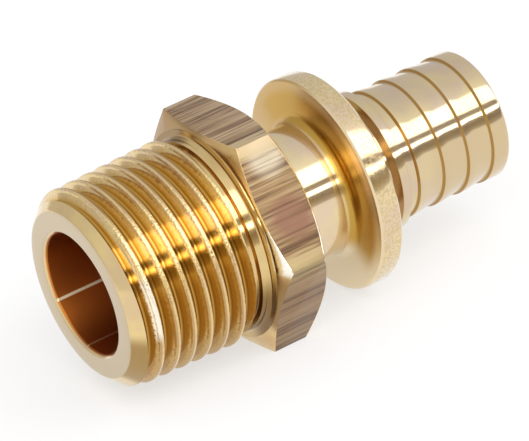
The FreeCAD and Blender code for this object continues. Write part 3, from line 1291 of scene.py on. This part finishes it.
@dataclass
class ThreadedNose(SubAssembly):
    """The taper thread with its lead chamfer, and the run-out groove and plain ring behind it.

    Attributes:
        lead_turns: turns of the thread's form before the end face.
        steps: facets in a turn of the thread.
        crest_break: how far the crests' edges are broken, in millimetres.
        root_round: how far the roots' corners are rounded, in millimetres.
        face_edge: how far the end face's outer edge is rounded, in millimetres.
        mouth_edge: how far its inner edge is rounded, in millimetres.
        bore_edge: how far the edge between the mouth's chamfer and the bore is rounded, in millimetres.
        groove_foot: how far the corner between the run-out groove and the ring is rounded, in millimetres.
        ring_edge: how far the ring's front edge is rounded, in millimetres.
        clear: how far the envelope stands outside the thread, in millimetres.
        let_in: how far the ring reaches into the hexagon, in millimetres.
    """

    lead_turns: int = 2
    steps: int = 240
    crest_break: float = 0.15
    root_round: float = 0.149
    face_edge: float = 0.2
    mouth_edge: float = 0.13
    bore_edge: float = 0.05
    groove_foot: float = 0.12
    ring_edge: float = 0.08
    clear: float = 0.5
    let_in: float = 0.3

    def build(self) -> None:
        """Build and dress the thread, and the ring behind it."""
        self.dress(self.thread(), Slot.TURNED, ThreadBrass())
        self.dress(self.shoulder(), Slot.TURNED, RingBrass())

    def thread(self) -> bpy.types.Object:
        """Screw one pitch of the thread's form round the axis, taper it and trim it to the nose.

        Returns:
            The threaded nose.
        """
        s = self.sizes
        crest = s.crest_at_face
        floor = crest + s.crest_shortfall - s.thread_depth
        slope = math.tan(math.radians(s.thread_angle / 2.0))
        half_floor = (s.thread_pitch - 2.0 * s.thread_depth * slope) / 4.0
        half_mouth = half_floor + (crest - floor) * slope
        middle = s.groove_start - self.lead_turns * s.thread_pitch
        form = [
            Corner(middle - s.thread_pitch / 2.0, crest),
            Corner(middle - half_mouth, crest, self.crest_break),
            Corner(middle - half_floor, floor, self.root_round),
            Corner(middle + half_floor, floor, self.root_round),
            Corner(middle + half_mouth, crest, self.crest_break),
            Corner(middle + s.thread_pitch / 2.0, crest),
        ]
        piece = self.lathe.trace("threaded_nose", form, Section.OPEN)
        self.to_axis(piece)
        screw = piece.modifiers.new("screw", "SCREW")
        screw.axis = "X"
        screw.angle = math.tau
        screw.screw_offset = s.thread_pitch * MM
        screw.iterations = self.lead_turns + math.ceil(s.thread_length / s.thread_pitch) + 1
        screw.steps = self.steps
        screw.render_steps = self.steps
        apply_modifier(piece, screw)
        self.close(piece)
        self.taper(piece)
        self.lathe.keep_inside(piece, self.envelope())
        return piece

    def to_axis(self, piece: bpy.types.Object) -> None:
        """Put the object's own origin on the axis at the end face, and leave its points where they are.

        Args:
            piece: the thread's form.
        """
        bpy.context.scene.cursor.location = (self.lathe.start, 0.0, self.lathe.height)
        choose(piece)
        bpy.ops.object.origin_set(type="ORIGIN_CURSOR")

    def close(self, piece: bpy.types.Object) -> None:
        """Weld the turns to each other and draw both open ends in to the axis.

        Args:
            piece: the open thread form.
        """
        start_edit(piece)
        bpy.ops.mesh.select_all(action="SELECT")
        bpy.ops.mesh.remove_doubles(threshold=WELD)
        for _ in range(2):
            mesh = bmesh.from_edit_mesh(piece.data)
            rims = [edge for edge in mesh.edges if edge.is_boundary]
            if not rims:
                break
            low = min(vertex.co.x for edge in rims for vertex in edge.verts)
            high = max(vertex.co.x for edge in rims for vertex in edge.verts)
            middle = (low + high) / 2.0
            bpy.ops.mesh.select_all(action="DESELECT")
            for edge in rims:
                edge.select = edge.verts[0].co.x < middle or low > middle
            bmesh.update_edit_mesh(piece.data)
            bpy.ops.mesh.extrude_edges_move()
            bpy.ops.mesh.merge(type="CENTER")
        bpy.ops.mesh.select_all(action="SELECT")
        bpy.ops.mesh.normals_make_consistent(inside=False)
        end_edit()

    def taper(self, piece: bpy.types.Object) -> None:
        """Widen the thread along its length, at the pipe thread's taper.

        Args:
            piece: the thread, straight until now.
        """
        stations = [vertex.co.x for vertex in piece.data.vertices]
        length = max(stations) - min(stations)
        deform = piece.modifiers.new("taper", "SIMPLE_DEFORM")
        deform.deform_method = "TAPER"
        deform.deform_axis = "X"
        deform.factor = length * self.sizes.taper / 2.0 / (self.sizes.crest_at_face * MM)
        apply_modifier(piece, deform)
        bpy.ops.object.transform_apply(location=True, rotation=False, scale=False)

    def envelope(self) -> bpy.types.Object:
        """The ring that the nose was before its thread was cut.

        Returns:
            A closed turned shell, with the lead chamfer, the end face and the bore's mouth.
        """
        s = self.sizes
        face = s.crest_at_face - s.lead_height
        outside = s.crest_at_face + self.clear
        bore = s.wide_bore / 2.0
        return self.lathe.turn("nose_envelope", [
            Corner(0.0, bore + s.mouth_chamfer, self.mouth_edge),
            Corner(0.0, face, self.face_edge, facets=4),
            Corner(outside - face, outside),
            Corner(s.thread_length, outside),
            Corner(s.thread_length, bore),
            Corner(s.mouth_chamfer, bore, self.bore_edge, facets=2),
        ])

    def shoulder(self) -> bpy.types.Object:
        """Turn the run-out groove and the plain ring that meets the hexagon.

        Returns:
            The ring.
        """
        s = self.sizes
        bore = s.wide_bore / 2.0
        runout, ring = s.runout_diameter / 2.0, s.ring_diameter / 2.0
        return self.lathe.turn("plain_ring", [
            Corner(s.thread_length, bore),
            Corner(s.thread_length, runout),
            Corner(s.ring_front, runout, self.groove_foot),
            Corner(s.ring_front, ring, self.ring_edge, facets=2),
            Corner(s.hex_front, ring, s.ring_fillet, facets=5),
            Corner(s.hex_front, ring + 2.0 * s.ring_fillet),
            Corner(s.hex_front + self.let_in, ring + 2.0 * s.ring_fillet),
            Corner(s.hex_front + self.let_in, bore),
        ])


@dataclass
class Hexagon(SubAssembly):
    """The spanner hexagon, with its turned chamfers.

    Attributes:
        bar_length: length of the bar it is cut from, as a share of its width.
        clear: how far the envelope's sharp rim stands outside the corners, in millimetres.
        face_edge: how far the edges between its ends and their chamfers are rounded, in millimetres.
        worn: how far the flats' edges are worn round, in millimetres.
        worn_from: least turn of an edge that is worn, in degrees.
        edge_margin: how far inside the flats' distance the worn edges may lie, in millimetres.
        flat_margin: how far inside it the flats themselves may lie, in millimetres.
    """

    bar_length: float = 1.5
    clear: float = 1.0
    face_edge: float = 0.1
    worn: float = 0.06
    worn_from: float = 15.0
    edge_margin: float = 0.05
    flat_margin: float = 0.01

    def build(self) -> None:
        """Build the hexagon, and dress it in a finish for its turned ends and one for its flats."""
        self.dress(self.bar(), Slot.DRAWN, ChamferBrass(), DrawnSkin())

    def bar(self) -> bpy.types.Object:
        """Cut a hexagonal bar to its turned envelope and wear its edges.

        Returns:
            The hexagon, with its flats marked for the second of its finishes.
        """
        s = self.sizes
        bpy.ops.object.select_all(action="DESELECT")
        bpy.ops.mesh.primitive_cylinder_add(
            vertices=6,
            radius=s.corner_radius * MM,
            depth=s.hex_width * self.bar_length * MM,
            location=self.lathe.place(s.hex_front + s.hex_width / 2.0, 0.0),
            rotation=(0.0, math.pi / 2.0, 0.0),
        )
        piece = bpy.context.object
        piece.name = "hexagon"
        piece.data.name = "hexagon"
        bpy.ops.object.transform_apply(location=True, rotation=True, scale=True)
        self.lathe.keep_inside(piece, self.envelope())
        self.wear(piece)
        reach = (s.hex_flats / 2.0 - self.flat_margin) * MM
        for face in piece.data.polygons:
            away = Vector((0.0, face.center.y, face.center.z - self.lathe.height))
            if abs(face.normal.x) < LEVEL and face.normal.dot(away) > reach:
                face.material_index = 1
        return piece

    def envelope(self) -> bpy.types.Object:
        """The turned ring that holds the hexagon: its faces and chamfers.

        Returns:
            A closed turned shell.
        """
        s = self.sizes
        flat = s.hex_flats / 2.0
        outside = s.corner_radius + self.clear
        front, rear = flat - s.front_inset, flat - s.rear_inset
        front_rise = (outside - front) * math.tan(math.radians(s.front_angle))
        rear_rise = (outside - rear) * math.tan(math.radians(s.rear_angle))
        return self.lathe.turn("hexagon_envelope", [
            Corner(s.hex_front, s.wide_bore / 2.0),
            Corner(s.hex_front, front, self.face_edge, facets=2),
            Corner(s.hex_front + front_rise, outside),
            Corner(s.hex_rear - rear_rise, outside),
            Corner(s.hex_rear, rear, self.face_edge, facets=2),
            Corner(s.hex_rear, s.narrow_bore / 2.0),
            Corner(s.cone_end, s.narrow_bore / 2.0),
            Corner(s.wide_bore_depth, s.wide_bore / 2.0),
        ])

    def wear(self, piece: bpy.types.Object) -> None:
        """Round the edges between the flats, and between the flats and the chamfers.

        Args:
            piece: the sharp hexagon.
        """
        start_edit(piece)
        bpy.ops.mesh.select_all(action="DESELECT")
        mesh = bmesh.from_edit_mesh(piece.data)
        reach = (self.sizes.hex_flats / 2.0 - self.edge_margin) * MM
        for edge in mesh.edges:
            outer = all(
                math.hypot(vertex.co.y, vertex.co.z - self.lathe.height) > reach for vertex in edge.verts
            )
            edge.select = outer and edge.calc_face_angle(0.0) > math.radians(self.worn_from)
        bmesh.update_edit_mesh(piece.data)
        bpy.ops.mesh.bevel(offset=self.worn * MM, segments=2, affect="EDGES", clamp_overlap=True)
        end_edit()


@dataclass
class NeckAndCollar(SubAssembly):
    """The waisted neck, its cove and the collar."""

    def build(self) -> None:
        """Turn and dress the neck and the collar."""
        self.dress(self.waist(), Slot.TURNED, CoveBrass())

    def waist(self) -> bpy.types.Object:
        """Turn the neck and the collar as one outline.

        Returns:
            The piece.
        """
        s = self.sizes
        bore = s.narrow_bore / 2.0
        neck, rim = s.neck_diameter / 2.0, s.collar_diameter / 2.0
        return self.lathe.turn("neck_and_collar", [
            Corner(s.hex_rear, bore),
            Corner(s.hex_rear, neck),
            Corner(s.collar_front, neck, s.cove_radius, facets=10),
            Corner(s.collar_front, rim, s.collar_edge),
            Corner(s.collar_rear, rim, s.collar_edge),
            Corner(s.collar_rear, bore),
        ])


@dataclass
class RibbedSpigot(SubAssembly):
    """The spigot that the pipe is pushed over.

    Attributes:
        rib_edge: how far a rib's sharp edge is eased, in millimetres.
        foot_round: how far the foot of a steep side is rounded, in millimetres.
        ramp_round: how far the turn from a rib's band to its ramp is rounded, in millimetres.
    """

    rib_edge: float = 0.07
    foot_round: float = 0.06
    ramp_round: float = 0.3

    def build(self) -> None:
        """Turn and dress the spigot."""
        self.dress(self.spigot(), Slot.TURNED, RibBrass())

    def spigot(self) -> bpy.types.Object:
        """Turn the spigot: the undercut, the tall rib, the small ribs and the tip.

        Returns:
            The piece.
        """
        s = self.sizes
        bore = s.narrow_bore / 2.0
        rib = s.rib_diameter / 2.0
        foot, undercut, tall = rib - s.rib_depth, rib - s.undercut_depth, rib + s.base_rib_rise
        edge = s.base_rib + s.rib_flank
        corners = [
            Corner(s.collar_rear, bore),
            Corner(s.collar_rear, undercut),
            Corner(s.base_rib, undercut, self.foot_round),
            Corner(edge, tall, self.rib_edge),
            Corner(edge + s.base_rib_land, tall, self.rib_edge),
            Corner(edge + s.base_rib_land, foot, self.foot_round),
        ]
        for number in range(s.rib_count + 1):
            start = s.second_rib + number * s.rib_pitch
            edge = start + s.rib_flank
            corners += [Corner(start, foot, self.foot_round), Corner(edge, rib, self.rib_edge)]
            if number < s.rib_count:
                corners.append(Corner(edge + s.rib_land, rib, self.ramp_round, facets=4))
        corners += [
            Corner(s.tip_end, rib, s.tip_round, facets=5),
            Corner(s.tip_end, bore + s.tip_mouth_chamfer),
            Corner(s.tip_end - s.tip_mouth_chamfer, bore),
        ]
        return self.lathe.turn("ribbed_spigot", corners)


@dataclass(frozen=True)
class Studio:
    """A white table under a pale room with one long softbox, and the camera.

    Attributes:
        azimuth: the camera's direction round the object, in degrees.
        elevation: its height above the horizon, in degrees.
        roll: its turn about its own line of sight, in degrees.
        distance_mm: from the middle of the thread's end face, along the line of sight.
        right_mm: how far the camera stands to the right of that line.
        up_mm: how far it stands above it.
        lens_mm: focal length on the sensor.
        sensor_mm: the sensor's width.
        table: width of the table, in metres.
        paint: how much light the table scatters back, from 0 to 1.
        glow: light that the floor adds to its lit colour, as the camera and the metal see it.
        softbox: brightness of the softbox.
        lamp: brightness of the lamp strip below it.
        cloth: hue of the dark cloths beside it, as sRGB hex.
        cloth_to_wall: brightnesses between which that hue gives way to white.
        light_end: the X parts, in a direction of length 1, between which the plain wall gives way to the lights.
    """

    azimuth: float = -28.64
    elevation: float = 27.93
    roll: float = -10.8
    distance_mm: float = 379.1
    right_mm: float = 17.49
    up_mm: float = 7.11
    lens_mm: float = 272.2
    sensor_mm: float = 36.0
    table: float = 6.0
    paint: float = 0.38
    glow: float = 0.6
    softbox: float = 2.8
    lamp: float = 5.0
    cloth: str = "FFE8C0"
    cloth_to_wall: Fade = Fade(0.3, 0.8)
    light_end: tuple[float, float] = (-0.75, -0.6)

    def build(self, lathe: Lathe) -> None:
        """Set up the floor, the light and the camera.

        Args:
            lathe: gives the place of the thread's end face.
        """
        self.camera(lathe.place(0.0, 0.0))
        self.floor()
        self.room()
        bpy.context.scene.view_settings.view_transform = "Standard"

    def camera(self, target: Vector) -> None:
        """Place the camera.

        Args:
            target: the middle of the thread's end face.
        """
        turn, rise, roll = (math.radians(v) for v in (self.azimuth, self.elevation, self.roll))
        back = Vector((math.sin(turn) * math.cos(rise), -math.cos(turn) * math.cos(rise), math.sin(rise)))
        level = Vector((math.cos(turn), math.sin(turn), 0.0))
        plumb = back.cross(level)
        right = math.cos(roll) * level + math.sin(roll) * plumb
        up = math.cos(roll) * plumb - math.sin(roll) * level
        place = target + (self.right_mm * right + self.up_mm * up + self.distance_mm * back) * MM
        data = bpy.data.cameras.new("camera")
        data.lens = self.lens_mm
        data.sensor_width = self.sensor_mm
        data.clip_start, data.clip_end = 0.01, 10.0
        camera = bpy.data.objects.new("camera", data)
        camera.matrix_world = Matrix.Translation(place) @ Matrix((right, up, back)).transposed().to_4x4()
        bpy.context.collection.objects.link(camera)
        bpy.context.scene.camera = camera

    def floor(self) -> None:
        """Lay a plain white floor with a soft shadow, which the metal mirrors as the camera sees it."""
        bpy.ops.object.select_all(action="DESELECT")
        bpy.ops.mesh.primitive_plane_add(size=self.table, location=(0.0, 0.0, 0.0))
        floor = bpy.context.object
        floor.name = "floor"
        material = bpy.data.materials.new("white_table")
        material.use_nodes = True
        tree = material.node_tree
        tree.nodes.clear()
        paint = add_node(tree, "ShaderNodeBsdfDiffuse", {}, {"Color": (self.paint, self.paint, self.paint, 1.0)})
        ray = add_node(tree, "ShaderNodeLightPath")
        mirrored = add_node(tree, "ShaderNodeMath", {"operation": "ADD"}, {
            0: ray.outputs["Is Glossy Ray"], 1: ray.outputs["Is Transmission Ray"],
        })
        shown = add_node(tree, "ShaderNodeMath", {"operation": "ADD"}, {
            0: ray.outputs["Is Camera Ray"], 1: mirrored.outputs["Value"],
        })
        glow = add_node(tree, "ShaderNodeEmission", {}, {
            "Color": WHITE, "Strength": product(tree, shown.outputs["Value"], self.glow),
        })
        both = add_node(tree, "ShaderNodeAddShader", {}, {0: paint.outputs["BSDF"], 1: glow.outputs["Emission"]})
        add_node(tree, "ShaderNodeOutputMaterial", {}, {"Surface": both.outputs["Shader"]})
        floor.data.materials.append(material)

    def room(self) -> None:
        """Surround the scene with a pale room: in front a long softbox between dark cloths, and a lamp strip.

        The room's light is told by the angle about the X axis, from the horizon behind the object (0),
        over the top (90), to the horizon in front (180).
        """
        world = bpy.data.worlds.new("studio")
        world.use_nodes = True
        tree = world.node_tree
        tree.nodes.clear()
        place = add_node(tree, "ShaderNodeTexCoord")
        parts = add_node(tree, "ShaderNodeSeparateXYZ", {}, {"Vector": place.outputs["Generated"]})
        angle = add_node(tree, "ShaderNodeMath", {"operation": "ARCTAN2"}, {
            0: parts.outputs["Z"], 1: parts.outputs["Y"],
        })
        half_turn = add_node(tree, "ShaderNodeMath", {"operation": "DIVIDE", "use_clamp": True}, {
            0: angle.outputs["Value"], 1: math.pi,
        }).outputs["Value"]
        walls = self.brightness(tree, half_turn, [(0.0, 0.62), (50.0, 0.74), (90.0, 0.86), (180.0, 0.86)])
        lights = self.brightness(tree, half_turn, [
            (0.0, 0.62), (50.0, 0.74), (87.0, 0.85), (108.0, 1.0), (116.0, 1.05),
            (117.0, self.softbox), (144.0, self.softbox), (145.5, 0.34), (154.5, 0.34),
            (155.6, self.lamp), (160.4, self.lamp), (161.5, 0.3), (170.0, 0.34), (180.0, 0.6),
        ])
        near = add_node(tree, "ShaderNodeMapRange", {}, {
            "Value": parts.outputs["X"], "From Min": self.light_end[0], "From Max": self.light_end[1],
        })
        level = add_node(tree, "ShaderNodeMix", {"data_type": "FLOAT"}, {
            0: near.outputs["Result"], 2: walls, 3: lights,
        }).outputs[0]
        tint = add_node(tree, "ShaderNodeMix", {"data_type": "RGBA"}, {
            0: self.cloth_to_wall.share(tree, level), 6: linear(self.cloth), 7: WHITE,
        })
        sky = add_node(tree, "ShaderNodeBackground", {}, {"Color": tint.outputs[2], "Strength": level})
        add_node(tree, "ShaderNodeOutputWorld", {}, {"Surface": sky.outputs["Background"]})
        bpy.context.scene.world = world

    @staticmethod
    def brightness(tree: Tree, half_turn: Socket, stops: list[tuple[float, float]]) -> Socket:
        """Give the room's brightness from its angle.

        Args:
            tree: the world's nodes.
            half_turn: gives the angle as a share of a half turn.
            stops: pairs of an angle in degrees and a brightness.

        Returns:
            The brightness socket.
        """
        node = add_node(tree, "ShaderNodeFloatCurve", {}, {"Value": half_turn})
        curve = node.mapping.curves[0]
        top = max(level for _, level in stops)
        while len(curve.points) < len(stops):
            curve.points.new(0.5, 0.5)
        for point, (angle, level) in zip(curve.points, stops):
            point.location = (angle / 180.0, level / top)
            point.handle_type = "VECTOR"
        node.mapping.update()
        return product(tree, node.outputs["Value"], top)


def main() -> None:
    """Build every piece of the adapter, dress it and set up the studio."""
    logging.basicConfig(level=logging.INFO, format="%(name)s: %(message)s")
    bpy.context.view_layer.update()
    lathe = Lathe(Sizes())
    for kind in (ThreadedNose, Hexagon, NeckAndCollar, RibbedSpigot):
        kind(lathe).build()
    Studio().build(lathe)


if __name__ == "__main__":
    main()
